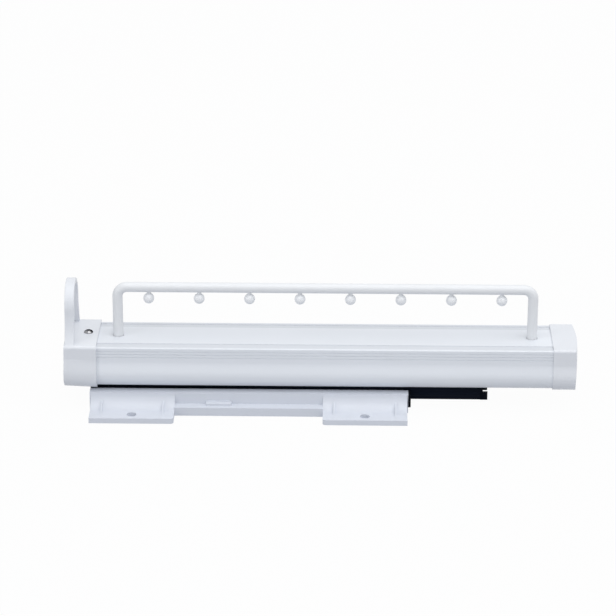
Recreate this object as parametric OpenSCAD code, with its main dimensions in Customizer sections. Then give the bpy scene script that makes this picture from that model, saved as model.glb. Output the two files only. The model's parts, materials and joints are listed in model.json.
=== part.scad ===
// Pull-out clothes rail for the underside of a wardrobe's top panel, drawn standing on its bracket.
// X runs from the front, where the pull ring is, to the rear, Y across, and Z up from the face
// that is screwed to the wardrobe. Every section below lies in the Y-Z plane.

/* [Rail body] */
// Length of the rail profile that shows between its two caps
rail_show_l = 400; // [300:5:500]
// How far the front cap stands out ahead of the bracket
nose_l = 22.6; // [18:0.2:28]
// Width of the flat deck
deck_w = 60; // [56:0.5:70]
// Height of the profile, from its sole to the deck
rail_h = 38; // [36:0.1:43]
// Wall of the extruded profile
rail_wall = 2; // [1.6:0.1:2.6]
// Radius of the barrel-shaped sides
barrel_r = 50; // [45:0.5:60]
// How far the sides bulge past the deck's edge
bulge = 2.4; // [1.6:0.1:2.8]
// Height of the barrel's widest line above the sole
barrel_h = 12.6; // [11:0.1:16]
// Radius that rolls each side into the sole
sole_r = 12; // [8:0.5:13]
// Radius of the deck's long edges
deck_edge_r = 1; // [0.6:0.1:3]
// Height of the inner web's top face above the sole
web_h = 21.2; // [18:0.1:23]
// Distance from the middle to the outer face of the two upright inner webs
web_half_w = 13; // [11:0.5:16]

/* [Grooves] */
// Width and depth of the fine grooves in the sides
groove_w = 0.7; // [0.4:0.1:1.2]
// Depth of the fine grooves in the sides
groove_d = 0.4; // [0.3:0.1:0.8]
// Pitch of the fine grooves
groove_pitch = 2.8; // [2:0.1:3]
// Distance from the deck down to the first fine groove
groove_drop = 3.4; // [2.5:0.1:4]
// Width of the shallow channel along each side of the deck
channel_w = 6.5; // [3:0.5:8]
// Depth of that channel
channel_d = 0.4; // [0.2:0.1:0.8]
// Distance from the deck's edge to that channel
channel_edge = 4.5; // [3:0.5:6]

/* [Caps] */
// Length of the front cap that shows
front_cap_l = 29; // [24:0.5:34]
// How far the front cap stands proud of the profile
front_proud = 2.2; // [1.6:0.1:2.8]
// Length of the rear cap that shows
rear_cap_l = 22.4; // [18:0.1:26]
// How far the rear cap stands proud of the profile
rear_proud = 1.2; // [0.9:0.1:1.6]
// How far the rear cap's end bows out in the middle
dome_h = 2.6; // [1:0.1:4]
// Length of profile that lies inside the rear cap
rear_lap = 13; // [8:0.5:15]
// Play between a cap and the profile inside it
cap_play = 0.1; // [0.05:0.01:0.15]
// Rounding of the caps' outer edges
cap_edge_r = 1; // [0.6:0.1:3]
// How much the front cap's underside rises towards its end
cap_draft = 1.2; // [0.5:0.1:1.5]
// How far the front cap's end face leans back at the top
cap_lean = 0.8; // [0.4:0.1:1.2]
// Distance from the front cap's rear edge to its screw
cap_screw_inset = 8.9; // [7:0.1:11]
// Wall of the front cap's end
cap_end_t = 3; // [2:0.5:5]

/* [Pull ring] */
// Thickness of the ring, along the pull
ring_t = 8.3; // [7:0.1:12]
// Outer radius of the arch
ring_r = 22.5; // [20:0.5:24]
// Width of the ring's band
ring_band = 4.5; // [3.5:0.1:8]
// Height of the arch's top above the deck
ring_rise = 52.5; // [48:0.1:58]
// Length of the legs' straight part between the arch and the flare
ring_straight = 0.6; // [0.4:0.1:4]
// Rounding of the band's edges
ring_edge_r = 0.7; // [0.4:0.1:2.4]
// How far the ring stands back from the cap's end face
ring_back = 1.6; // [0.5:0.1:2.5]

/* [Hanging rod] */
// Diameter of the rod
rod_d = 9; // [8:0.5:10]
// Distance from the end of the showing profile to a leg's axis
leg_inset = 17.5; // [14:0.5:50]
// Height of the rod's axis above the deck
rod_rise = 45.7; // [40:0.1:52]
// Bend radius of the rod's axis
bend_r = 8.5; // [7:0.5:14]
// Play round a leg in its hole in the deck
leg_play = 0.4; // [0.3:0.1:1]
// Thread diameter of the screws in the legs
leg_screw_d = 5; // [4:0.5:5]

/* [Hanger balls] */
// Number of balls
ball_n = 8; // [4:1:8]
// Distance from a leg's axis to the nearest ball
ball_margin = 27.45; // [22:0.05:36]
// Diameter of a hanger ball
knob_d = 9.6; // [8:0.1:12]
// Distance from the rod's axis down to a ball's centre
knob_drop = 10.4; // [10:0.1:12]
// Diameter of the pins that carry the balls
pin_d = 3.6; // [3:0.1:4]

/* [Slide] */
// Width of the ball-bearing slide
slide_w = 45; // [44:0.5:46]
// Thickness of the slide
slide_t = 12.7; // [12.7:0.1:13.2]
// Nominal length of the slide, with its rear buffer
slide_l = 350; // [340:5:380]
// How far the rail pulls out
stroke = 340; // [300:5:340]
// Thickness of the slide's steel
sheet_t = 1; // [0.9:0.05:1.05]
// Diameter of the slide's bearing balls
bearing_d = 3.2; // [3:0.1:3.3]
// Running clearance between a ball and its races
race_play = 0.04; // [0.02:0.01:0.08]
// Balls in each row
row_n = 12; // [8:1:12]
// Distance between neighbouring balls of a row
row_pitch = 14; // [12:0.5:14]
// Thickness of the ball cages
cage_t = 0.5; // [0.4:0.05:0.55]

/* [Bracket] */
// Length of the mounting bracket
bracket_l = 280; // [270:5:300]
// How far the ears stand out from the side shelves
ear_out = 17.5; // [16:0.5:22]
// Length of one ear, centred on its mounting hole
ear_l = 74; // [60:1:75]
// Rounding of an ear's corner, seen from above
ear_corner_r = 3; // [1:0.1:6]
// Thickness of the ears' flat edge
ear_t = 4.8; // [4:0.1:6]
// How far the side shelves stand out from the channel's walls
shelf_out = 9.5; // [8:0.5:12]
// Height of the side shelves
shelf_h = 7.6; // [6:0.1:9]
// Thickness of the channel's walls
wall_t = 9.7; // [8:0.1:11]
// Height of the channel's walls
wall_h = 17.6; // [15:0.1:19]
// Play between the slide and each channel wall
slide_play = 0.8; // [0.5:0.1:1.5]
// Height of the channel's floor, on which the slide lies
floor_h = 7.9; // [6.6:0.1:9]
// Distance from the bracket's end to the axis of a mounting hole
hole_inset = 38; // [30:0.5:46]
// Distance from an ear's long edge to the axis of its mounting hole
hole_edge = 8.7; // [7:0.1:9]
// Diameter of the mounting holes
mount_hole_d = 5; // [4:0.1:5.5]
// Diameter of the recess for the head of a mounting screw
mount_recess_d = 8.4; // [8:0.1:9]
// Depth of that recess
mount_recess_h = 3.4; // [2:0.1:3.6]
// Skin of the cored moulding
skin = 2.4; // [2:0.1:3]
// Thickness of the ribs under the bracket
rib_t = 1.8; // [1.2:0.1:2.5]
// Number of rib bays along the bracket
bay_n = 7; // [5:1:9]

/* [Bracket details] */
// Length of the embossed tab on the front wall
tab_l = 22; // [16:0.5:30]
// Height of the embossed tab
tab_h = 3.8; // [3:0.1:5]
// How far the embossed tab stands out
tab_proud = 0.8; // [0.4:0.1:1.2]
// Middle of the embossed tab, ahead of the bracket's middle
tab_x = 26.7; // [10:0.1:40]
// Thickness of the gussets on the ears
gusset_t = 1.6; // [1:0.1:3]
// Distance from an ear's end to the middle of its gusset
gusset_inset = 10; // [5:0.1:16]
// Height of a gusset above the ear's flat, at the wall
gusset_h = 6.6; // [5:0.1:9]
// How far a gusset runs out on the ear's flat
gusset_out = 5.7; // [3:0.1:8]
// Height of the clip's lower ends above the mounting face
clip_low = 5.2; // [4:0.1:6]
// Thickness of the black clip at the bracket's rear end
clip_t = 2.2; // [1.5:0.1:3]
// Length of the buffer behind the slide's steel
buffer_l = 6.5; // [5:0.1:8]

/* [Screws] */
// Thread diameter of the screws of the slide
slide_screw_d = 4; // [3.5:0.1:4]
// Head diameter of the pan-head screws
pan_head_d = 7.9; // [7:0.1:8]
// Head height of the pan-head screws
pan_head_h = 2.6; // [2:0.1:2.8]
// Width of the cross recess
cross_w = 1.1; // [0.8:0.1:1.4]
// Play round a screw's shank
screw_play = 0.1; // [0.05:0.01:0.15]

/* [Hidden] */
// Angular fineness of round solids, and the pieces in a quarter turn of a drawn arc
$fn = 48;
arc_n = 8;
// Overrun of cuts past the faces that they open
over = 1;
// Air kept between a moving piece and a fixed one
air_gap = 0.4;

// Heights above the mounting face
slide_top = floor_h + slide_t;
sole_z = slide_top;
deck_z = sole_z + rail_h;
web_z = sole_z + web_h;
rod_z = deck_z + rod_rise;
knob_z = rod_z - knob_drop;
arch_z = deck_z + ring_rise - ring_r;
flare_z = arch_z - ring_straight;

// Places along the rail, front to rear
cap_x0 = -bracket_l / 2 - nose_l;
show_x0 = cap_x0 + front_cap_l;
show_x1 = show_x0 + rail_show_l;
rail_x = (show_x0 + show_x1) / 2;
ring_x0 = cap_x0 + ring_back;
ring_x1 = ring_x0 + ring_t;
cap_x1 = show_x1 + rear_cap_l;
rail_x0 = ring_x1 + cap_play;
rail_x1 = show_x1 + rear_lap;
rod_span = rail_show_l - 2 * leg_inset;
leg_xs = [show_x0 + leg_inset, show_x1 - leg_inset];
ball_pitch = (rod_span - 2 * ball_margin) / (ball_n - 1);
cap_screw_x = show_x0 - cap_screw_inset;

// The slide lies flush with the bracket's front end
slide_x0 = -bracket_l / 2;
steel_x1 = slide_x0 + slide_l - buffer_l;
nest_gap = 0.4;
cage_margin = 5;
cage_l = (row_n - 1) * row_pitch + 2 * cage_margin;
cage_start = 3;
cage_x0 = slide_x0 + stroke / 4 + cage_start;
slide_screw_shares = [0.08, 0.36, 0.64, 0.92];
rail_screw_shares = [0.12, 0.38, 0.62, 0.9];

// Sheet sections of the slide: half a thickness, ball centres and bends
half_t = sheet_t / 2;
bearing_r = bearing_d / 2;
race_r = bearing_r + race_play;
mid_r = race_r + half_t;
outer_wrap = 40;
hook_a = 45;
s_turn = 131;
lip_a = 60;
neck_r = 0.9;
corner_r = 1.5;
hairpin_r = 0.7;
outer_lip_drop = 0.4;
cage_corner_r = 0.8;
jog = 0.5;
jog_r = 0.6;
pocket_play = 0.15;
stop_tab_w = 8;
mid_web_gap = 1.4;
mid_web_z = floor_h + sheet_t + mid_web_gap + half_t;
outer_ball = [slide_w / 2 - race_r - sheet_t,
              mid_web_z + hairpin_r + (mid_r + hairpin_r) * sin(hook_a)];
inner_ball = outer_ball + 2 * mid_r * [cos(s_turn), sin(s_turn)];
outer_web_z = floor_h + half_t;
inner_web_z = slide_top - half_t;
neck_y = outer_ball.x + (mid_r + neck_r) * cos(outer_wrap) - neck_r;
outer_cage_y = (inner_ball.x + mid_r + neck_y) / 2;

// Half width of the barrel's centre, and the angle at which it rolls into the sole
barrel_y = deck_w / 2 + bulge - barrel_r;
sole_a = asin((barrel_h - sole_r) / (barrel_r - sole_r));

// Bracket
wall_in = slide_w / 2 + slide_play;
wall_w = 2 * (wall_in + wall_t);
shelf_w = wall_w + 2 * shelf_out;
ear_span = shelf_w + 2 * ear_out;
hole_span_x = bracket_l - 2 * hole_inset;
hole_span_y = ear_span - 2 * hole_edge;
gusset_x = ear_l / 2 - gusset_inset;
ear_mid_x = hole_span_x / 2;
ear_x0 = ear_mid_x - ear_l / 2;
ear_x1 = ear_mid_x + ear_l / 2;
ear_fillet_r = wall_h - ear_t;
boss_d = 9;
ring_foot_drop = 2.4;
head_cone_r = slide_screw_d;
cone_h = 2.1;

KNOBS = [for (i = [1:ball_n]) str("bead_", i)];
PINS = [for (i = [1:ball_n]) str("bead_pin_", i)];

// Points of an arc about c, from angle a0 to a1
function arc(c, r, a0, a1, n = arc_n) =
    [for (i = [0:n]) c + r * [cos(a0 + (a1 - a0) * i / n), sin(a0 + (a1 - a0) * i / n)]];

// A list turned round, a list mirrored to the other side of the middle, and a closed outline
function turned(l) = [for (i = [len(l) - 1:-1:0]) l[i]];
function mirrored(l) = [for (p = l) [-p.x, p.y]];
function both_sides(l) = concat(l, turned(mirrored(l)));

// Right half of the rail's section, grown outward by d, from the sole to the deck: the sole rolls up
// into a bulging side, and an upright band with the grooves stands between the bulge and the deck
function rail_half(d) = let (
    barrel_c = [barrel_y, sole_z + barrel_h],
    sole_c = barrel_c + (barrel_r - sole_r) * [cos(sole_a), -sin(sole_a)],
    edge_y = deck_w / 2 + d,
    top_a = acos((edge_y - barrel_y) / (barrel_r + d)),
    edge_r = max(deck_edge_r + d, 0),
    edge_c = [edge_y - edge_r, deck_z + d - edge_r])
    concat(arc(sole_c, sole_r + d, -90, -sole_a),
           arc(barrel_c, barrel_r + d, -sole_a, top_a, 2 * arc_n),
           arc(edge_c, edge_r, 0, 90));
function rail_outline(d) = both_sides(rail_half(d));

// One side of a bent sheet: path is a list of arcs [centre, radius, from, to], s is 1 for the left
function sheet_side(start, path, end, s, h) = concat(
    [start + [0, s * h]],
    [for (p = path) for (q = arc(p[0], p[1] - s * h * sign(p[3] - p[2]), p[2], p[3])) q],
    end == undef ? [] : [end - [s * h, 0]]);

// Closed outline of a sheet that is bent alike on both sides of the middle
function sheet(start, path, end, t = sheet_t) = let (
    left = sheet_side(start, path, end, 1, t / 2),
    right = sheet_side(start, path, end, -1, t / 2))
    concat(right, turned(left), mirrored(left), turned(mirrored(right)));

// Extrudes a Y-Z section along X
module along_x(x0, x1) {
    translate([x0, 0, 0]) rotate([90, 0, 90]) linear_extrude(x1 - x0) children();
}

// Copies things to both sides of the bracket, and to its two ends
module sides() {
    children();
    mirror([0, 1, 0]) children();
}
module ends() {
    children();
    mirror([1, 0, 0]) children();
}

// Skin over rings of equal length; each ring is [x, outline]
module loft(rings) {
    n = len(rings[0][1]);
    last = len(rings) - 1;
    polyhedron(
        [for (g = rings) for (p = g[1]) [g[0], p.x, p.y]],
        concat([[for (i = [0:n - 1]) i]],
               [for (k = [0:last - 1]) for (i = [0:n - 1]) let (j = (i + 1) % n)
                   each [[k * n + i, (k + 1) * n + i, (k + 1) * n + j],
                         [k * n + i, (k + 1) * n + j, k * n + j]]],
               [[for (i = [n - 1:-1:0]) last * n + i]]));
}

// Pan head with a cross recess, its seat at the origin and its top up
module pan_head(d = pan_head_d, h = pan_head_h) {
    brim = h / 4;
    rise = h - brim;
    dome_r = (d * d / 4 + rise * rise) / (2 * rise);
    difference() {
        intersection() {
            cylinder(d = d, h = h);
            translate([0, 0, h - dome_r]) sphere(dome_r);
        }
        for (a = [0, 90]) rotate(a)
            translate([-d / 4, -cross_w / 2, h - 2 * brim]) cube([d / 2, cross_w, h]);
    }
}

// Places along the steel at the given shares
module at_shares(x0, l, shares) {
    for (s = shares) translate([x0 + l * s, 0, 0]) children();
}

// Mounting bracket: U channel between two shelves, with four ears that carry the screws
module channel_section() {
    polygon(both_sides([[0, 0], [wall_w / 2, 0], [wall_w / 2, wall_h], [wall_in, wall_h],
                        [wall_in, floor_h], [0, floor_h]]));
}

module shelf() {
    along_x(-ear_x0, ear_x0) translate([wall_w / 2 - skin, 0]) square([shelf_out + skin, shelf_h]);
}

// An ear sweeps up to the wall's top in one concave curve, and its inner corner is rounded
module ear() {
    y0 = wall_w / 2 - skin;
    y1 = ear_span / 2;
    intersection() {
        along_x(ear_x0, ear_x1)
            polygon(concat([[y0, 0], [y1, 0], [y1, ear_t]],
                           arc([wall_w / 2 + ear_fillet_r, wall_h], ear_fillet_r, 270, 180, 2 * arc_n),
                           [[y0, wall_h]]));
        linear_extrude(wall_h)
            polygon(concat([[ear_x1, y0], [ear_x1, y1]],
                           arc([ear_x0 + ear_corner_r, y1 - ear_corner_r], ear_corner_r, 90, 180),
                           [[ear_x0, y0]]));
    }
}

module gusset() {
    low_z = ear_t - skin / 2;
    out_y = wall_w / 2 + ear_fillet_r + gusset_out;
    for (s = [-1, 1]) translate([ear_mid_x + s * gusset_x - gusset_t / 2, 0, 0])
        along_x(0, gusset_t)
            polygon([[wall_w / 2 - skin, low_z], [out_y, low_z], [out_y, ear_t],
                     [wall_w / 2, ear_t + gusset_h], [wall_w / 2 - skin, ear_t + gusset_h]]);
}

// Hollows that open to the mounting face, split into bays by ribs
module bracket_core() {
    bay_l = (bracket_l - skin - (bay_n + 1) * rib_t) / bay_n;
    for (i = [0:bay_n - 1]) {
        x0 = -bracket_l / 2 + skin / 2 + rib_t + i * (bay_l + rib_t);
        along_x(x0, x0 + bay_l) {
            difference() {
                translate([-wall_in, -over]) square([2 * wall_in, floor_h - skin + over]);
                for (y = [-boss_d, boss_d]) translate([y - rib_t / 2, -2 * over])
                    square([rib_t, floor_h + 2 * over]);
            }
            for (s = [-1, 1]) translate([s * (wall_in + wall_t / 2) - (wall_t - skin) / 2, -over])
                square([wall_t - skin, wall_h - skin + over]);
        }
    }
}

module mounting_bracket() {
    color("gainsboro") difference() {
        union() {
            difference() {
                union() {
                    along_x(-bracket_l / 2, bracket_l / 2) channel_section();
                    sides() shelf();
                    sides() ends() ear();
                    sides() ends() gusset();
                }
                bracket_core();
            }
            at_shares(slide_x0, bracket_l, slide_screw_shares) cylinder(d = boss_d, h = floor_h);
            embossed_tab();
        }
        sides() ends() translate([hole_span_x / 2, hole_span_y / 2, 0]) {
            translate([0, 0, -over]) cylinder(d = mount_hole_d, h = ear_t + 2 * over);
            translate([0, 0, ear_t - mount_recess_h])
                cylinder(d = mount_recess_d, h = wall_h);
        }
        at_shares(slide_x0, bracket_l, slide_screw_shares) {
            translate([0, 0, skin / 2]) cylinder(d = slide_screw_d + 2 * screw_play, h = floor_h);
            translate([0, 0, floor_h + sheet_t - cone_h]) head_cone(screw_play);
        }
    }
}

// Elongated tab that stands out from the foot of the front wall
module embossed_tab() {
    face_y = wall_w / 2 + tab_proud;
    for (s = [-1, 1]) translate([-tab_x + s * (tab_l - tab_h) / 2, skin - face_y, shelf_h + tab_h / 2 - tab_proud])
        rotate([90, 0, 0]) cylinder(d = tab_h, h = skin);
    translate([-tab_x - (tab_l - tab_h) / 2, -face_y, shelf_h - tab_proud])
        cube([tab_l - tab_h, skin, tab_h]);
}

// Cone of a countersunk head, from the shank up to the head's flat
module head_cone(play = 0) {
    cylinder(r1 = slide_screw_d / 2 + play, r2 = head_cone_r + play, h = cone_h);
}

module channel_end_clip() {
    lip = clip_t;
    low_z = clip_low;
    color("black") {
        sides() along_x(bracket_l / 2, bracket_l / 2 + clip_t) {
            translate([wall_in, low_z + lip]) square([wall_w / 2 + lip / 2 - wall_in, wall_h - low_z - lip]);
            translate([wall_w / 2 - lip / 2, low_z + lip]) circle(lip);
            translate([wall_in, low_z]) square([wall_w / 2 - lip / 2 - wall_in, lip]);
        }
        along_x(bracket_l / 2, bracket_l / 2 + clip_t)
            translate([-wall_in, low_z]) square([2 * wall_in, floor_h - low_z - air_gap / 2]);
    }
}

// Outer member: a web, two rolled corners, two ball races and two upright lips
function outer_section() = let (
    neck_dir = (mid_r + neck_r) * [cos(outer_wrap), sin(outer_wrap)],
    low_neck = outer_ball + [neck_dir.x, -neck_dir.y],
    high_neck = outer_ball + neck_dir,
    corner = [neck_y - corner_r, outer_web_z + corner_r])
    sheet([0, outer_web_z],
          [[corner, corner_r, -90, 0], [low_neck, neck_r, 180, 180 - outer_wrap],
           [outer_ball, mid_r, -outer_wrap, outer_wrap], [high_neck, neck_r, 180 + outer_wrap, 180]],
          [neck_y, slide_top - outer_lip_drop]);

module outer_slide_member() {
    color("#1c1d20") {
        difference() {
            along_x(slide_x0, steel_x1) polygon(outer_section());
            at_shares(slide_x0, bracket_l, slide_screw_shares)
                translate([0, 0, floor_h + sheet_t - cone_h]) head_cone(screw_play);
        }
        translate([slide_x0 + sheet_t / 2, -stop_tab_w / 2, floor_h + sheet_t])
            cube([sheet_t, stop_tab_w, mid_web_gap - air_gap]);
    }
}

module outer_slide_screws() {
    shank_l = floor_h + sheet_t - cone_h - skin;
    color("silver") at_shares(slide_x0, bracket_l, slide_screw_shares) difference() {
        union() {
            translate([0, 0, floor_h + sheet_t - cone_h]) head_cone();
            translate([0, 0, skin]) cylinder(d = slide_screw_d, h = shank_l);
        }
        for (a = [0, 90]) rotate(a) translate([-head_cone_r / 2, -cross_w / 2, floor_h])
            cube([head_cone_r, cross_w, sheet_t + over]);
    }
}

// Buffer behind the steel: a block, two side cheeks and a bridge, with a slot between them
module rear_buffer() {
    half_w = neck_y + half_t;
    low_z = floor_h + nest_gap;
    top_z = slide_top - outer_lip_drop;
    slot_z = outer_ball.y + mid_r + nest_gap;
    slot_h = sheet_t + half_t;
    block_l = buffer_l * 0.35;
    tongue_l = 2 * buffer_l;
    color("#151515") {
        along_x(steel_x1, steel_x1 + block_l)
            translate([-half_w, low_z]) square([2 * half_w, top_z - low_z]);
        sides() along_x(steel_x1, steel_x1 + buffer_l)
            translate([half_w - 2 * skin / 3, low_z]) square([2 * skin / 3, slot_z - low_z]);
        along_x(steel_x1, steel_x1 + buffer_l - nest_gap)
            translate([-half_w, slot_z + slot_h]) square([2 * half_w, top_z - slot_z - slot_h]);
        translate([steel_x1 - tongue_l, -stop_tab_w, floor_h + sheet_t])
            cube([tongue_l, 2 * stop_tab_w, mid_web_gap - air_gap]);
    }
}

// Middle member: an S-shaped flange on each side gives one race outward and one inward
function middle_section() = sheet([0, mid_web_z],
    [[outer_ball - (mid_r + hairpin_r) * [cos(hook_a), sin(hook_a)], hairpin_r, -90, hook_a],
     [outer_ball, mid_r, 180 + hook_a, s_turn],
     [inner_ball, mid_r, s_turn + 180, 360 + lip_a]], undef);

module middle_slide_member() {
    slot_w = slide_w / 4;
    color("#1c1d20") difference() {
        along_x(slide_x0 + nest_gap, steel_x1 - nest_gap) polygon(middle_section());
        at_shares(slide_x0, slide_l, slide_screw_shares)
            translate([0, 0, mid_web_z - sheet_t]) cylinder(d = slot_w, h = 2 * sheet_t);
    }
}

// Inner member: its web lies against the rail, and its flanges hook round the inner balls
function inner_section() = let (
    turn_r = (inner_web_z - inner_ball.y - mid_r * sin(hook_a)) / (1 + sin(hook_a)),
    turn_y = inner_ball.x - (mid_r + turn_r) * cos(hook_a))
    sheet([0, inner_web_z],
          [[[turn_y, inner_web_z - turn_r], turn_r, 90, -hook_a],
           [inner_ball, mid_r, 180 - hook_a, 180 + hook_a]], undef);

module inner_slide_member() {
    x0 = slide_x0 + 2 * nest_gap;
    x1 = steel_x1 - 2 * nest_gap;
    color("#1c1d20") difference() {
        along_x(x0, x1) polygon(inner_section());
        at_shares(x0, x1 - x0, rail_screw_shares) translate([0, 0, inner_web_z - sheet_t])
            cylinder(d = slide_screw_d + 2 * screw_play, h = 2 * sheet_t);
    }
}

module inner_slide_screws() {
    x0 = slide_x0 + 2 * nest_gap;
    x1 = steel_x1 - 2 * nest_gap;
    color("silver") at_shares(x0, x1 - x0, rail_screw_shares)
        translate([0, 0, slide_top - sheet_t]) {
            mirror([0, 0, 1]) pan_head();
            cylinder(d = slide_screw_d, h = sheet_t + 3 * rail_wall);
        }
}

// Ball cages: thin strips bent between the members, with a pocket round each ball
module cage_cut(c, reach) {
    pocket_r = bearing_r + pocket_play;
    for (i = [0:row_n - 1]) sides()
        translate([cage_x0 + cage_margin + i * row_pitch, c.x - reach, c.y])
            rotate([-90, 0, 0]) cylinder(r = pocket_r, h = 2 * reach);
}

module row_of_balls(c) {
    for (i = [0:row_n - 1]) sides()
        translate([cage_x0 + cage_margin + i * row_pitch, c.x, c.y]) sphere(bearing_r);
}

module outer_ball_cage() {
    web_z = floor_h + sheet_t + mid_web_gap / 2;
    top_z = outer_ball.y + bearing_r + 2 * cage_t;
    section = sheet([0, web_z],
        [[[outer_cage_y - cage_corner_r, web_z + cage_corner_r], cage_corner_r, -90, 0]],
        [outer_cage_y, top_z], cage_t);
    color("dimgray") difference() {
        along_x(cage_x0, cage_x0 + cage_l) polygon(section);
        cage_cut(outer_ball, bearing_r);
    }
}

module inner_ball_cage() {
    web_z = mid_web_z + half_t + air_gap + cage_t / 2;
    jog_a = acos(1 - jog / (2 * jog_r));
    low_y = inner_ball.x - jog;
    jog_z = outer_ball.y + jog_r;
    jog_c = [low_y + jog_r, jog_z];
    top_z = inner_web_z - half_t - air_gap;
    section = sheet([0, web_z],
        [[[low_y - cage_corner_r, web_z + cage_corner_r], cage_corner_r, -90, 0],
         [jog_c, jog_r, 180, 180 - jog_a],
         [jog_c + 2 * jog_r * [cos(180 - jog_a), sin(180 - jog_a)], jog_r, -jog_a, 0]],
        [inner_ball.x, top_z], cage_t);
    color("dimgray") difference() {
        along_x(cage_x0, cage_x0 + cage_l) polygon(section);
        cage_cut(inner_ball, bearing_r);
    }
}

module outer_balls() {
    color("silver") row_of_balls(outer_ball);
}

module inner_balls() {
    color("silver") row_of_balls(inner_ball);
}

// Rail profile: a hollow extrusion with a box in the middle and grooves outside
module rail_section() {
    box_w = 2 * web_half_w;
    difference() {
        polygon(rail_outline(0));
        intersection() {
            polygon(rail_outline(-rail_wall));
            union() {
                translate([-deck_w, web_z]) square([2 * deck_w, rail_h]);
                translate([-web_half_w + rail_wall, sole_z])
                    square([box_w - 2 * rail_wall, web_h - rail_wall]);
                for (s = [-1, 1]) translate([s * (web_half_w + deck_w / 2), sole_z + web_h / 2])
                    square([deck_w, web_h - 2 * rail_wall], center = true);
            }
        }
        for (s = [-1, 1]) {
            translate([s * (deck_w / 2 - channel_edge - channel_w / 2), deck_z])
                square([channel_w, 2 * channel_d], center = true);
            for (i = [0:2]) translate([s * deck_w / 2, deck_z - groove_drop - i * groove_pitch])
                square([2 * groove_d, groove_w], center = true);
        }
    }
}

module rail_profile() {
    x0 = slide_x0 + 2 * nest_gap;
    x1 = steel_x1 - 2 * nest_gap;
    color("whitesmoke") difference() {
        along_x(rail_x0, rail_x1) rail_section();
        for (x = leg_xs) translate([x, 0, 0]) {
            translate([0, 0, web_z + rail_wall]) cylinder(d = rod_d + 2 * leg_play, h = rail_h);
            translate([0, 0, web_z - rail_wall - over])
                cylinder(d = leg_screw_d + 2 * screw_play, h = rail_wall + 2 * over);
            translate([0, 0, sole_z - over]) cylinder(d = 2 * rod_d, h = rail_wall + 2 * over);
        }
        at_shares(x0, x1 - x0, rail_screw_shares) translate([0, 0, sole_z - over])
            cylinder(d = slide_screw_d + 2 * screw_play, h = rail_wall + 2 * over);
        translate([cap_screw_x, 0, web_z + rail_wall])
            cylinder(d = slide_screw_d + 2 * screw_play, h = rail_h);
    }
}

// Band of the pull ring: a rounded rectangle carried round an arch and down two flared legs
module band_section() {
    w = ring_band / 2 - ring_edge_r;
    t = ring_t / 2 - ring_edge_r;
    n = arc_n / 2;
    translate([0, ring_t / 2]) polygon(concat(arc([w, t], ring_edge_r, 0, 90, n),
        arc([-w, t], ring_edge_r, 90, 180, n), arc([-w, -t], ring_edge_r, 180, 270, n),
        arc([w, -t], ring_edge_r, 270, 360, n)));
}

module pull_ring() {
    band_r = ring_r - ring_band / 2;
    foot_z = deck_z + front_proud - ring_foot_drop;
    foot_y = deck_w / 2 + front_proud - ring_r;
    flare_a = 2 * atan(foot_y / (flare_z - foot_z));
    flare_r = (flare_z - foot_z) / sin(flare_a);
    translate([ring_x0, 0, 0]) rotate([90, 0, 90]) {
        translate([0, arch_z]) rotate_extrude(angle = 180) translate([band_r, 0]) band_section();
        for (s = [0, 1]) mirror([s, 0]) {
            translate([band_r, flare_z - over / 10]) rotate([-90, 0, 0]) mirror([0, 1, 0])
                linear_extrude(arch_z - flare_z + over / 10) band_section();
            translate([ring_r + flare_r, flare_z]) rotate(180) rotate_extrude(angle = flare_a)
                translate([flare_r + ring_band / 2, 0]) band_section();
        }
    }
}

// Rings of a cap's rounded outer end, from the end face back to its full section
function rounded_end(x0, dir, proud, r, n = 4) =
    [for (i = [0:n]) let (a = 90 * i / n)
        [x0 + dir * r * (1 - sin(a)), rail_outline(proud - r * (1 - cos(a)))]];

// An outline of the front cap at x, with its underside drawn up towards the cap's end
function drafted(x, outline) = let (k = 1 - cap_draft / rail_h * (show_x0 - x) / front_cap_l)
    [for (p = outline) [p.x, p.y > deck_z ? p.y : deck_z + (p.y - deck_z) * k]];

module cap_cavity(x0, x1) {
    along_x(x0, x1) polygon(rail_outline(cap_play));
}

// The slide passes under a cap through this opening in its sole
module slide_pass(x0, x1) {
    along_x(x0, x1) translate([-slide_w / 2 - slide_play - air_gap, sole_z - 2 * rear_proud - over])
        square([slide_w + 2 * (slide_play + air_gap), 2 * rear_proud + over]);
}

// Wedge ahead of the front cap's leaning end face
module lean_cut() {
    low_z = sole_z - front_proud;
    high_z = deck_z + front_proud;
    half_w = deck_w / 2 + bulge + front_proud + over;
    translate([0, half_w, 0]) rotate([90, 0, 0]) linear_extrude(2 * half_w)
        polygon([[cap_x0, low_z], [cap_x0 + cap_lean, high_z], [cap_x0 + cap_lean, high_z + over],
                 [cap_x0 - over, high_z + over], [cap_x0 - over, low_z]]);
}

module front_cap() {
    end_rings = [for (g = turned(rounded_end(cap_x0, 1, front_proud, cap_edge_r))) [g[0], drafted(g[0], g[1])]];
    color("whitesmoke") difference() {
        union() {
            loft(concat(end_rings, [[show_x0, rail_outline(front_proud)]]));
            pull_ring();
        }
        lean_cut();
        cap_cavity(ring_x1, show_x0 + over);
        along_x(cap_x0 + cap_end_t, ring_x1 + over) polygon(rail_outline(-rail_wall));
        along_x(slide_x0 - air_gap - slide_play, show_x0 + over)
            translate([-slide_w / 2 - slide_play - air_gap, sole_z - front_proud - over])
                square([slide_w + 2 * (slide_play + air_gap), front_proud + 2 * over]);
        translate([cap_screw_x, 0, deck_z - over])
            cylinder(d = slide_screw_d + 2 * screw_play, h = front_proud + 2 * over);
    }
}

module front_cap_screw() {
    color("silver") translate([cap_screw_x, 0, deck_z + front_proud]) {
        pan_head();
        translate([0, 0, -front_proud - 3 * rail_wall])
            cylinder(d = slide_screw_d, h = front_proud + 3 * rail_wall);
    }
}

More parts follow.
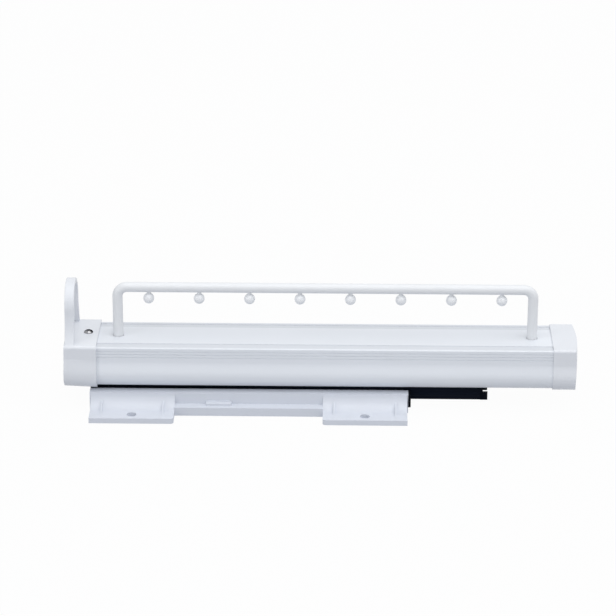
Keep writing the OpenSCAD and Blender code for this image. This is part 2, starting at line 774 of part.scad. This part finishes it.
// Rear cap: a sleeve whose end face bows out across its width and its height
module rear_cap() {
    half_w = deck_w / 2 + bulge + rear_proud;
    half_h = rail_h / 2 + rear_proud + over;
    mid_z = sole_z + rail_h / 2;
    bow_r = (half_w * half_w + dome_h * dome_h) / (2 * dome_h);
    tall_r = 8 * bow_r / 5;
    tall_a = asin(half_h / tall_r);
    color("whitesmoke") difference() {
        intersection() {
            along_x(show_x1, cap_x1 + over) polygon(rail_outline(rear_proud));
            translate([cap_x1 - bow_r, 0, 0]) rotate_extrude($fn = 200)
                polygon(concat([[0, mid_z - half_h]], arc([bow_r - tall_r, mid_z], tall_r, -tall_a, tall_a),
                               [[0, mid_z + half_h]]));
        }
        cap_cavity(show_x1 - over, rail_x1);
        slide_pass(show_x1 - over, cap_x1 + over);
    }
}

// Hanging rod: two legs, two bends and a straight run, drilled for its screws and pins
module hanging_rod() {
    r = rod_d / 2;
    leg_top = rod_z - bend_r;
    thread_l = 2.4 * leg_screw_d;
    color("whitesmoke") difference() {
        union() {
            for (i = [0, 1]) translate([leg_xs[i], 0, web_z]) cylinder(d = rod_d, h = leg_top - web_z);
            for (i = [0, 1]) translate([leg_xs[i] + (1 - 2 * i) * bend_r, 0, leg_top])
                rotate([90, 0, 0]) rotate([0, 0, 90 - 90 * i]) rotate_extrude(angle = 90)
                    translate([bend_r, 0]) circle(r);
            translate([leg_xs[0] + bend_r, 0, rod_z]) rotate([0, 90, 0])
                cylinder(d = rod_d, h = rod_span - 2 * bend_r);
        }
        for (x = leg_xs) translate([x, 0, web_z - over]) cylinder(d = leg_screw_d, h = thread_l + over);
        for (i = [0:ball_n - 1]) translate([ball_x(i), 0, rod_z - r - over])
            cylinder(d = pin_d + screw_play, h = r + over);
    }
}

function ball_x(i) = rail_x + (i - (ball_n - 1) / 2) * ball_pitch;

module rod_washers() {
    color("silver") for (x = leg_xs) translate([x, 0, web_z - rail_wall - sheet_t]) difference() {
        cylinder(d = 2 * leg_screw_d + sheet_t, h = sheet_t);
        translate([0, 0, -over]) cylinder(d = leg_screw_d + 2 * screw_play, h = sheet_t + 2 * over);
    }
}

module rod_screws() {
    seat_z = web_z - rail_wall - sheet_t;
    color("silver") for (x = leg_xs) translate([x, 0, seat_z]) {
        mirror([0, 0, 1]) pan_head(2 * leg_screw_d - sheet_t, leg_screw_d / 2 + half_t);
        cylinder(d = leg_screw_d, h = rail_wall + sheet_t + 2 * leg_screw_d);
    }
}

module bead(i) {
    color("white") translate([ball_x(i), 0, knob_z]) difference() {
        sphere(d = knob_d);
        cylinder(d = pin_d + screw_play, h = knob_d);
    }
}

module bead_pin(i) {
    color("gainsboro") translate([ball_x(i), 0, knob_z]) cylinder(d = pin_d, h = knob_drop - cross_w);
}

mounting_bracket();
channel_end_clip();
outer_slide_member();
outer_slide_screws();
rear_buffer();
outer_ball_cage();
outer_balls();
middle_slide_member();
inner_ball_cage();
inner_balls();
inner_slide_member();
inner_slide_screws();
rail_profile();
front_cap();
front_cap_screw();
rear_cap();
hanging_rod();
rod_screws();
rod_washers();
for (i = [0:ball_n - 1]) {
    bead(i);
    bead_pin(i);
}
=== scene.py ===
"""Pull-out clothes rail, standing on its bracket. Sizes are millimetres, and MM turns them into metres where a
mesh, a modifier or the camera takes them. The stage and its lights are in metres."""
import json
import bpy
import numpy as np
from mathutils import Matrix, Vector


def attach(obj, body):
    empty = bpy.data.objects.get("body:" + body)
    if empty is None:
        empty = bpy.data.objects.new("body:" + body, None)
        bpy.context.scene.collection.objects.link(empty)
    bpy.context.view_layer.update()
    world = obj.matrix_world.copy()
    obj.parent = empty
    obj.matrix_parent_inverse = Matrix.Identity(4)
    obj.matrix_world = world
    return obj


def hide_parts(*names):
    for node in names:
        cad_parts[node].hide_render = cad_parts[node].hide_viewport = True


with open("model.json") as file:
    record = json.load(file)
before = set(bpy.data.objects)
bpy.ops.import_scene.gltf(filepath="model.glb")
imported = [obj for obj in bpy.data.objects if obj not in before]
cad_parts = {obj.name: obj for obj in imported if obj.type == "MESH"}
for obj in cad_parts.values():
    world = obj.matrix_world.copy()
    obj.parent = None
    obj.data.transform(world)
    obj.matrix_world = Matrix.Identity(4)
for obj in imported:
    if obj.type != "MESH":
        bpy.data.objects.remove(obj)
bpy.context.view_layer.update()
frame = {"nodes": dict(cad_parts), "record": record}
MM = 0.001

# The rail's section: top of the deck, half widths of the deck and of the widest line, that line's height, and
# the radius of the side
DECK_Z, DECK_HALF, BULGE_HALF, BULGE_Z, SIDE_R = 58.6, 30.0, 32.4, 33.2, 50.0
# How much longer the upright band is than in the source, and the slack within which a point is on the skin
BAND_LONGER, SKIN_SLACK = 2.5, 0.02
# How far the skin of each piece with that section stands outside the profile's
PROUD = {"rail_profile": 0.0, "front_cap": 2.2, "rear_cap": 1.2}
# The deck's two long channels: distance from the middle, half width, and the painted shade on their floor, a
# darker tone that stands in for shade in the recess
CHANNEL_Y, CHANNEL_HALF, CHANNEL_PAINTED_SHADE = 23.3, 4.8, (0.865, 0.865, 0.87)

# The hanging rod: thickness, height of its straight run, foot of its legs, bend, and the legs' places
ROD_R, ROD_Z, ROD_FOOT_Z, BEND_R = 4.5, 104.3, 41.8, 8.5
LEG_XS = (-116.1, 248.9)
ROD_SIDES, BEND_POINTS = 40, 17

# The balls on it, and the small flat that ends each one round its pin
BALL_COUNT, BALL_PITCH, BALL_MID_X, BALL_Z, BALL_R, BALL_FLAT_R = 8, 44.3, 66.4, 93.9, 4.8, 1.8
BALL_XS = BALL_MID_X + (np.arange(BALL_COUNT) - (BALL_COUNT - 1) / 2) * BALL_PITCH
BALL_TOP_ANGLE, BALL_POINTS, BALL_SIDES = 66, 27, 36

# The pad on the bracket's near shelf: the wall and shelf that it lies on, its place, size and roundings
WALL_HALF, SHELF_Z = 33.0, 7.6
PAD_X, PAD_LONG, PAD_DEEP, PAD_HIGH, PAD_CORNER_R, PAD_EDGE_R = -26.4, 22.4, 5.2, 2.5, 1.0, 0.35
CORNER_POINTS, EDGE_POINTS = 7, 6

# Merged copies: the rounding of each one's hard edges, and how the copies are joined, flattened and rounded
EDGE_WIDTHS = {
    "mounting_bracket": 0.35, "channel_end_clip": 0.3, "outer_slide_member": 0.12, "rear_buffer": 0.25,
    "middle_slide_member": 0.12, "inner_slide_member": 0.12, "rail_profile": 0.15, "front_cap": 0.5,
    "rear_cap": 0.6, "front_cap_screw": 0.15}
WELD_REACH, FLAT_ANGLE, EDGE_SEGMENTS, EDGE_ANGLE, NORMAL_WEIGHT = 0.002, 0.5, 3, 25, 50

# The part of a noise's range that is used
NOISE_RANGE = (0.3, 0.7)
EVEN = (1, 1, 1)
# Reflections of the black pieces: a cool tone at grazing angles
COOL_GLANCE = (0.6, 0.78, 1.0, 1)


def new_material(name, colour, rough, **sockets):
    """A principled finish with its plain values set on the shader's own sockets."""
    m = bpy.data.materials.new(name)
    m.use_nodes = True
    shader = m.node_tree.nodes["Principled BSDF"]
    shader.inputs["Base Color"].default_value = (*colour, 1)
    shader.inputs["Roughness"].default_value = rough
    for key, value in sockets.items():
        shader.inputs[key.replace("_", " ")].default_value = value
    return m, m.node_tree, shader


def speckle(tree, scale, detail=3.0, stretch=EVEN):
    """Noise on the piece's own coordinates, stretched along an axis for drawn or rolled metal."""
    place = tree.nodes.new("ShaderNodeTexCoord")
    mapping = tree.nodes.new("ShaderNodeMapping")
    mapping.inputs["Scale"].default_value = stretch
    noise = tree.nodes.new("ShaderNodeTexNoise")
    noise.inputs["Scale"].default_value = scale
    noise.inputs["Detail"].default_value = detail
    tree.links.new(place.outputs["Object"], mapping.inputs["Vector"])
    tree.links.new(mapping.outputs["Vector"], noise.inputs["Vector"])
    return noise.outputs["Fac"]


def ramp(tree, value, source_range, out_low, out_high):
    """The value's source range becomes out_low..out_high."""
    node = tree.nodes.new("ShaderNodeMapRange")
    numbers = (*source_range, out_low, out_high)
    for key, number in zip(("From Min", "From Max", "To Min", "To Max"), numbers):
        node.inputs[key].default_value = number
    tree.links.new(value, node.inputs["Value"])
    return node.outputs["Result"]


def calculate(tree, operation, *values):
    """A math node on sockets and plain numbers."""
    node = tree.nodes.new("ShaderNodeMath")
    node.operation = operation
    for value, socket in zip(values, node.inputs):
        if isinstance(value, (int, float)):
            socket.default_value = value
        else:
            tree.links.new(value, socket)
    return node.outputs[0]


def tint(tree, shader, value, dark, light):
    """Base colour between two near tones, by the value."""
    mix = tree.nodes.new("ShaderNodeMix")
    mix.data_type = "RGBA"
    mix.inputs["A"].default_value = (*dark, 1)
    mix.inputs["B"].default_value = (*light, 1)
    tree.links.new(value, mix.inputs["Factor"])
    tree.links.new(mix.outputs["Result"], shader.inputs["Base Color"])


def relief(tree, shader, value, strength, height):
    """Fine bumps of the given height, in metres."""
    bump = tree.nodes.new("ShaderNodeBump")
    bump.inputs["Strength"].default_value = strength
    bump.inputs["Distance"].default_value = height
    tree.links.new(value, bump.inputs["Height"])
    tree.links.new(bump.outputs["Normal"], shader.inputs["Normal"])


def white_finish(name, colour, rough, grain, height):
    """White coat or moulding: a slow drift of tone, and a fine grain in the relief and in the gloss."""
    m, tree, shader = new_material(name, colour, rough)
    drift_scale, darkest = 9, 0.975
    drift = ramp(tree, speckle(tree, drift_scale, 2.0), NOISE_RANGE, 0, 1)
    tint(tree, shader, drift, tuple(c * darkest for c in colour), colour)
    fine = speckle(tree, grain, 4.0)
    gloss = ramp(tree, fine, NOISE_RANGE, rough - 0.05, rough + 0.06)
    tree.links.new(gloss, shader.inputs["Roughness"])
    relief(tree, shader, fine, 0.25, height)
    return m


def paint_channel_shade(m):
    """Painted shade: the floor of the deck's two long channels is painted a little darker than the deck round
    it, as if the recess lay in shade.
    """
    tree = m.node_tree
    colour = tree.nodes["Principled BSDF"].inputs["Base Color"]
    plain = colour.links[0].from_socket
    place = tree.nodes.new("ShaderNodeTexCoord")
    split = tree.nodes.new("ShaderNodeSeparateXYZ")
    tree.links.new(place.outputs["Object"], split.inputs[0])
    side = calculate(tree, "ABSOLUTE", split.outputs["Y"])
    # mask of the painted shade: within each channel's width and on the deck
    in_width = calculate(tree, "COMPARE", side, CHANNEL_Y * MM, CHANNEL_HALF * MM)
    on_deck = calculate(tree, "GREATER_THAN", split.outputs["Z"], (DECK_Z - 1) * MM)
    mix = tree.nodes.new("ShaderNodeMix")
    mix.data_type, mix.blend_type = "RGBA", "MULTIPLY"
    mix.inputs["B"].default_value = (*CHANNEL_PAINTED_SHADE, 1)
    tree.links.new(calculate(tree, "MULTIPLY", in_width, on_deck), mix.inputs["Factor"])
    tree.links.new(plain, mix.inputs["A"])
    tree.links.new(mix.outputs["Result"], colour)


def black_steel():
    """Black dip coat on rolled strip: faint streaks along the rolling and a soft gloss."""
    m, tree, shader = new_material("black_coated_strip", (0.003, 0.004, 0.007), 0.38,
                                   Specular_IOR_Level=0.045, Specular_Tint=COOL_GLANCE)
    streaks = speckle(tree, 60, 4.0, (0.06, 1, 1))
    dark, light = (0.002, 0.0027, 0.005), (0.004, 0.0055, 0.011)
    tint(tree, shader, ramp(tree, streaks, (0.35, 0.65), 0, 1), dark, light)
    tree.links.new(ramp(tree, streaks, NOISE_RANGE, 0.32, 0.48), shader.inputs["Roughness"])
    relief(tree, shader, speckle(tree, 1800), 0.2, 1.5e-5)
    return m


def black_moulding():
    """Black nylon with a fine eroded grain."""
    m, tree, shader = new_material("black_moulding", (0.003, 0.0035, 0.005), 0.5,
                                   Specular_IOR_Level=0.04, Specular_Tint=COOL_GLANCE)
    grain = speckle(tree, 2400)
    dark, light = (0.002, 0.0025, 0.004), (0.004, 0.0045, 0.007)
    tint(tree, shader, ramp(tree, speckle(tree, 40), NOISE_RANGE, 0, 1), dark, light)
    tree.links.new(ramp(tree, grain, NOISE_RANGE, 0.42, 0.58), shader.inputs["Roughness"])
    relief(tree, shader, grain, 0.3, 2e-5)
    return m


def bare_metal(name, colour, rough, scale, streak):
    """Plated or polished steel: streaks in the gloss and a slow drift of tone."""
    m, tree, shader = new_material(name, colour, rough, Metallic=1.0)
    lines = speckle(tree, scale, 4.0, streak)
    tint(tree, shader, ramp(tree, lines, NOISE_RANGE, 0, 1), tuple(c * 0.9 for c in colour), colour)
    tree.links.new(ramp(tree, lines, NOISE_RANGE, rough * 0.7, rough * 1.4), shader.inputs["Roughness"])
    relief(tree, shader, lines, 0.15, 1e-5)
    return m


def chrome():
    """Chrome plate in a white studio, its reflection painted into the base colour: light where it faces the
    lamp, dark where it looks past it.
    """
    m, tree, shader = new_material("chrome_plate", (0.5, 0.5, 0.52), 0.1, Metallic=1.0,
                                   Specular_Tint=(0.12, 0.12, 0.13, 1))
    facing = tree.nodes.new("ShaderNodeNewGeometry")
    dot = tree.nodes.new("ShaderNodeVectorMath")
    dot.operation = "DOT_PRODUCT"
    painted_dark_normal, dark, light = (0.50, 0.45, 0.74), (0.003, 0.003, 0.004), (0.3, 0.3, 0.31)
    dot.inputs[1].default_value = painted_dark_normal
    tree.links.new(facing.outputs["Normal"], dot.inputs[0])
    # painted reflection: the base colour is dark where the normal points past the lamp and light where it
    # faces it
    tint(tree, shader, ramp(tree, dot.outputs["Value"], (0.45, 0.76), 1, 0), dark, light)
    grain = speckle(tree, 700, 4.0)
    tree.links.new(ramp(tree, grain, NOISE_RANGE, 0.05, 0.12), shader.inputs["Roughness"])
    relief(tree, shader, grain, 0.15, 1e-5)
    return m


# Finishes by material slot. White ones: colour, roughness, scale of the grain and its height in metres.
# Bare metals: colour, roughness, scale of the streaks and their stretch
WHITE_COAT = white_finish("powder_coated_extrusion", (0.745, 0.775, 0.825), 0.42, 2600, 2.5e-5)
# painted shade on the floor of the deck's channels
paint_channel_shade(WHITE_COAT)
WHITE_ROD = white_finish("powder_coated_rod", (0.768, 0.784, 0.808), 0.36, 2200, 2e-5)
FINISHES = {
    "white_extrusion": WHITE_COAT,
    "white_rod": WHITE_ROD,
    "white_pin": WHITE_ROD,
    "white_cap": white_finish("white_moulded_cap", (0.722, 0.745, 0.79), 0.38, 1500, 1.5e-5),
    "white_moulding": white_finish("white_moulded_bracket", (0.645, 0.675, 0.74), 0.45, 1500, 2e-5),
    "white_bead": white_finish("white_moulded_ball", (0.82, 0.835, 0.86), 0.28, 900, 1e-5),
    "black_steel": black_steel(),
    "black_plastic": black_moulding(),
    "chrome_screw": chrome(),
    "zinc_screw": bare_metal("zinc_plate", (0.62, 0.63, 0.66), 0.3, 900, EVEN),
    "cage_steel": bare_metal("plated_strip", (0.55, 0.55, 0.57), 0.32, 300, (0.1, 1, 1)),
    "bearing_steel": bare_metal("polished_ball", (0.75, 0.76, 0.78), 0.08, 500, EVEN)}
SLOT_OF = {part["node"]: part["material_slot"] for part in frame["record"]["subparts"]}
BODY_OF = {node: body for body, nodes in frame["record"]["behaviour"]["bodies"].items() for node in nodes}


def link(thing):
    """Puts an object into the scene."""
    bpy.context.scene.collection.objects.link(thing)


def finish_piece(piece, node, smooth_angle=None):
    """Gives a piece the finish and the body of its CAD node, and rounds its shading below the angle."""
    piece.data.materials.clear()
    piece.data.materials.append(FINISHES[SLOT_OF[node]])
    if smooth_angle:
        piece.data.shade_smooth()
        piece.data.set_sharp_from_angle(angle=np.radians(smooth_angle))
    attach(piece, BODY_OF[node])


def put_mesh(name, points, faces, node, smooth_angle):
    """Points in millimetres and faces as index lists become a piece on the body of its CAD node."""
    mesh = bpy.data.meshes.new(name)
    mesh.from_pydata((np.asarray(points, float) * MM).tolist(), [], faces)
    mesh.validate()
    piece = bpy.data.objects.new(name, mesh)
    link(piece)
    finish_piece(piece, node, smooth_angle)
    return piece


def side_faces(rows, cols):
    """Quads round a stack of rings, rows rings of cols points, facing out when the rings follow one another
    along an axis and their points run anticlockwise seen from its far end."""
    r, c = np.arange(rows - 1)[:, None], np.arange(cols)[None, :]
    r2, c2 = r + 1, (c + 1) % cols
    quads = np.stack([r * cols + c, r * cols + c2, r2 * cols + c2, r2 * cols + c], -1)
    return quads.reshape(-1, 4).tolist()


def end_face(row, cols, turned=False):
    """One face over a whole ring, turned round for the first ring."""
    ring = list(range(row * cols, (row + 1) * cols))
    return ring[::-1] if turned else ring


def points_of(mesh):
    """A mesh's points as an array, in metres."""
    points = np.empty(len(mesh.vertices) * 3)
    mesh.vertices.foreach_get("co", points)
    return points.reshape(-1, 3)


def keep_in_box(mesh, source):
    """Pulls points that a bevel pushed past the source's own box back onto it."""
    limits = points_of(source)
    inside = np.clip(points_of(mesh), limits.min(0), limits.max(0))
    mesh.vertices.foreach_set("co", inside.ravel())


def soften_side(mesh, proud):
    """Runs the upright band softly into the bulge. Each point between the widest line and the band's foot lies
    on an arc about the middle of the side; at its height it moves across onto a half cosine wave that starts
    below the foot at the band, ends at the widest line and stands as far out as the arc does."""
    points = points_of(mesh) / MM
    side, z = np.abs(points[:, 1]), points[:, 2]
    out = np.hypot(side - BULGE_HALF + SIDE_R, z - BULGE_Z) - SIDE_R
    across = SIDE_R + out + DECK_HALF - BULGE_HALF
    foot = BULGE_Z + np.sqrt(np.maximum((SIDE_R + out) ** 2 - across ** 2, 1))
    start = foot - BAND_LONGER
    share = np.clip((start - z) / (start - BULGE_Z), 0, 1)
    wave = DECK_HALF + out + (BULGE_HALF - DECK_HALF) * (1 - np.cos(np.pi * share)) / 2
    skin = (out > -SKIN_SLACK) & (out < proud + SKIN_SLACK) & (z > BULGE_Z) & (z < foot)
    points[:, 1] = np.where(skin, np.sign(points[:, 1]) * wave, points[:, 1])
    mesh.vertices.foreach_set("co", (points * MM).ravel())


def merged_copy(node, width):
    """A CAD node's triangles joined to one skin, its hard edges rounded by the width, and its normals
    weighted by area, so that flats stay flat and curves run smoothly."""
    source = frame["nodes"][node]
    piece = bpy.data.objects.new("fine_" + node, source.data.copy())
    link(piece)
    if node in PROUD:
        soften_side(piece.data, PROUD[node])
    piece.data.shade_smooth()
    weld = piece.modifiers.new("weld", "WELD")
    weld.merge_threshold = WELD_REACH * MM
    flat = piece.modifiers.new("flat", "DECIMATE")
    flat.decimate_type = "DISSOLVE"
    flat.angle_limit = np.radians(FLAT_ANGLE)
    edge = piece.modifiers.new("edge", "BEVEL")
    edge.width = width * MM
    edge.segments = EDGE_SEGMENTS
    edge.limit_method = "ANGLE"
    edge.angle_limit = np.radians(EDGE_ANGLE)
    edge.use_clamp_overlap = True
    even = piece.modifiers.new("even", "WEIGHTED_NORMAL")
    even.mode = "FACE_AREA"
    even.weight = NORMAL_WEIGHT
    shaped = piece.evaluated_get(bpy.context.evaluated_depsgraph_get())
    baked = bpy.data.meshes.new_from_object(shaped)
    piece.modifiers.clear()
    piece.data = baked
    keep_in_box(baked, source.data)
    finish_piece(piece, node)
    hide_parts(node)


def hanging_rod():
    """Circle of the rod carried up a leg, round a quarter circle, along the straight run and down again:
    centre line from quarter-circle arcs, section axes Y and the path's normal in the X-Z plane."""
    turn = np.radians(np.linspace(0, 90, BEND_POINTS))
    top = ROD_Z - BEND_R
    half_up = (ROD_FOOT_Z + top) / 2
    x0, x1 = LEG_XS
    first = np.stack([x0 + BEND_R - BEND_R * np.cos(turn), top + BEND_R * np.sin(turn)], -1)
    last = np.stack([x1 - BEND_R + BEND_R * np.sin(turn), top + BEND_R * np.cos(turn)], -1)
    line = np.concatenate([[[x0, ROD_FOOT_Z], [x0, half_up]], first, last,
                           [[x1, half_up], [x1, ROD_FOOT_Z]]])
    step = np.gradient(line, axis=0)
    start = 2
    middle, end = start + BEND_POINTS, start + 2 * BEND_POINTS - 1
    step[[0, start]] = (0, 1)
    step[[middle - 1, middle]] = (1, 0)
    step[[end, -1]] = (0, -1)
    step /= np.linalg.norm(step, axis=1, keepdims=True)
    normal = np.stack([-step[:, 1], step[:, 0]], -1)
    a = np.radians(np.arange(ROD_SIDES) * 360 / ROD_SIDES)
    rows = len(line)
    points = np.zeros((rows, ROD_SIDES, 3))
    points[..., 0] = line[:, None, 0] + ROD_R * np.sin(a) * normal[:, None, 0]
    points[..., 2] = line[:, None, 1] + ROD_R * np.sin(a) * normal[:, None, 1]
    points[..., 1] = -ROD_R * np.cos(a)
    faces = side_faces(rows, ROD_SIDES)
    faces += [end_face(0, ROD_SIDES, turned=True), end_face(rows - 1, ROD_SIDES)]
    piece = put_mesh("bent_rod", points.reshape(-1, 3), faces, "hanging_rod", 50)
    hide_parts("hanging_rod")


def hanger_ball(i, x):
    """A profile turned about the ball's pin: circle of the ball, ending in a small flat round the pin."""
    a = np.radians(np.linspace(-90, BALL_TOP_ANGLE, BALL_POINTS))
    r, z = BALL_R * np.cos(a), BALL_R * np.sin(a)
    r, z = np.append(r, BALL_FLAT_R), np.append(z, z[-1])
    turn = np.radians(np.arange(BALL_SIDES) * 360 / BALL_SIDES)
    points = np.stack(np.broadcast_arrays(x + r[:, None] * np.cos(turn), r[:, None] * np.sin(turn),
                                          BALL_Z + z[:, None]), -1)
    points[0] = points[0].mean(0)
    rows = len(r)
    faces = side_faces(rows, BALL_SIDES) + [end_face(rows - 1, BALL_SIDES)]
    piece = put_mesh("ball_%d" % i, points.reshape(-1, 3), faces, "bead_%d" % i, 50)
    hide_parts("bead_%d" % i)


def rounded_plan(half_x, half_y, r, inset):
    """Rectangle with round corners, drawn in by the inset: four quarter circles of radius r - inset."""
    quarter = np.radians(np.linspace(0, 90, CORNER_POINTS))
    a = quarter[None, :] + np.radians([[0], [90], [180], [270]])
    side_x, side_y = np.array([[1], [-1], [-1], [1]]), np.array([[1], [1], [-1], [-1]])
    x = side_x * (half_x - r) + (r - inset) * np.cos(a)
    y = side_y * (half_y - r) + (r - inset) * np.sin(a)
    return x.ravel(), y.ravel()


def shelf_pad():
    """A low block on the shelf against the wall: its plan rises straight and turns in over the top edge by a
    quarter circle."""
    mid_y = -(WALL_HALF + PAD_DEEP / 2)
    turn = np.radians(np.linspace(0, 90, EDGE_POINTS))
    insets = np.append(0, PAD_EDGE_R * (1 - np.cos(turn)))
    heights = np.append(0, PAD_HIGH - PAD_EDGE_R * (1 - np.sin(turn)))
    rings = []
    for inset, z in zip(insets, heights):
        x, y = rounded_plan(PAD_LONG / 2, PAD_DEEP / 2, PAD_CORNER_R, inset)
        rings.append(np.stack([PAD_X + x, mid_y + y, np.full(len(x), SHELF_Z + z)], -1))
    rows, cols = len(rings), len(rings[0])
    faces = side_faces(rows, cols) + [end_face(0, cols, turned=True), end_face(rows - 1, cols)]
    put_mesh("shelf_pad", np.concatenate(rings), faces, "mounting_bracket", 40)


# The photograph's camera, 2.45 m away, 22 degrees down: axes, place, lens and sensor width
CAMERA_RIGHT = (0.99990111, 0.0137595, 0.002906)
CAMERA_UP = (-0.00791566, 0.3798692, 0.92500634)
CAMERA_AHEAD = (-0.01162372, 0.92493787, -0.37994055)
CAMERA_PLACE = (79.77, -2265.17, 1016.07)
LENS, SENSOR, NEAR, FAR = 162.76, 36, 0.1, 50

# Lights: place, aim, size and power
LIGHTS = {
    "key": ((1.2, -1.2, 4.1), (0.06, 0, 0.05), 6.5, 215),
    "left": ((-2.2, -1.5, 0.8), (0.0, 0, 0.04), 0.8, 11)}
FLOOR_HALF, FLOOR_COLOUR, FLOOR_WHITE = 6, (0.54, 0.55, 0.58, 1), 0.97
SKY_COLOUR, SKY_STRENGTH = (0.97, 0.985, 1, 1), 0.455
WHITE = (1, 1, 1, 1)


def camera():
    """The photograph's camera, with a long lens."""
    data = bpy.data.cameras.new("camera")
    data.lens, data.sensor_width = LENS, SENSOR
    data.clip_start, data.clip_end = NEAR, FAR
    eye = bpy.data.objects.new("camera", data)
    place = np.eye(4)
    place[:3, 0], place[:3, 1], place[:3, 2] = CAMERA_RIGHT, CAMERA_UP, -np.array(CAMERA_AHEAD)
    place[:3, 3] = np.array(CAMERA_PLACE) * MM
    eye.matrix_world = Matrix(place.tolist())
    link(eye)
    bpy.context.scene.camera = eye


def area_light(name, place, aim, size, power):
    """A square soft box that faces its aim."""
    data = bpy.data.lights.new(name, "AREA")
    data.shape, data.size, data.energy = "SQUARE", size, power
    lamp = bpy.data.objects.new(name, data)
    lamp.location = place
    lamp.rotation_euler = (Vector(aim) - Vector(place)).to_track_quat("-Z", "Y").to_euler()
    link(lamp)


def seen_plain(tree, share):
    """The share for camera, glossy and transmission rays, and 0 for the rays that carry light."""
    path = tree.nodes.new("ShaderNodeLightPath")
    either = calculate(tree, "MAXIMUM", path.outputs["Is Camera Ray"], path.outputs["Is Glossy Ray"])
    third = calculate(tree, "MAXIMUM", either, path.outputs["Is Transmission Ray"])
    return calculate(tree, "MULTIPLY", third, share)


def blend(tree, amount, lit, plain, surface):
    """Shows plain by the amount over lit, on the output's surface."""
    mix = tree.nodes.new("ShaderNodeMixShader")
    tree.links.new(amount, mix.inputs[0])
    tree.links.new(lit.outputs[0], mix.inputs[1])
    tree.links.new(plain.outputs[0], mix.inputs[2])
    tree.links.new(mix.outputs[0], surface)


def floor():
    """A plain pale floor that shows white and keeps a light shadow."""
    mesh = bpy.data.meshes.new("floor")
    corners = [(x * FLOOR_HALF, y * FLOOR_HALF, 0) for x, y in ((-1, -1), (1, -1), (1, 1), (-1, 1))]
    mesh.from_pydata(corners, [], [[0, 1, 2, 3]])
    ground = bpy.data.objects.new("floor", mesh)
    link(ground)
    m = bpy.data.materials.new("pale_floor")
    m.use_nodes = True
    tree = m.node_tree
    tree.nodes.clear()
    out = tree.nodes.new("ShaderNodeOutputMaterial")
    matt = tree.nodes.new("ShaderNodeBsdfDiffuse")
    matt.inputs["Color"].default_value = FLOOR_COLOUR
    glow = tree.nodes.new("ShaderNodeEmission")
    glow.inputs["Color"].default_value = WHITE
    blend(tree, seen_plain(tree, FLOOR_WHITE), matt, glow, out.inputs["Surface"])
    mesh.materials.append(m)


def studio():
    """Soft even light all round, a wide key box above to the right and a weak one low on the left."""
    world = bpy.data.worlds.new("studio")
    bpy.context.scene.world = world
    world.use_nodes = True
    tree = world.node_tree
    tree.nodes.clear()
    out = tree.nodes.new("ShaderNodeOutputWorld")
    soft = tree.nodes.new("ShaderNodeBackground")
    soft.inputs["Color"].default_value = SKY_COLOUR
    soft.inputs["Strength"].default_value = SKY_STRENGTH
    white = tree.nodes.new("ShaderNodeBackground")
    white.inputs["Color"].default_value = WHITE
    white.inputs["Strength"].default_value = 1
    blend(tree, seen_plain(tree, 1.0), soft, white, out.inputs["Surface"])
    for name, light in LIGHTS.items():
        area_light(name, *light)


for node, cad in frame["nodes"].items():
    cad.data.materials.clear()
    cad.data.materials.append(FINISHES[SLOT_OF[node]])

for node, edge_width in EDGE_WIDTHS.items():
    merged_copy(node, edge_width)

hanging_rod()
for number, ball_x in enumerate(BALL_XS, 1):
    hanger_ball(number, ball_x)
shelf_pad()

camera()
floor()
studio()
scene = bpy.context.scene
scene.view_settings.view_transform = "Standard"
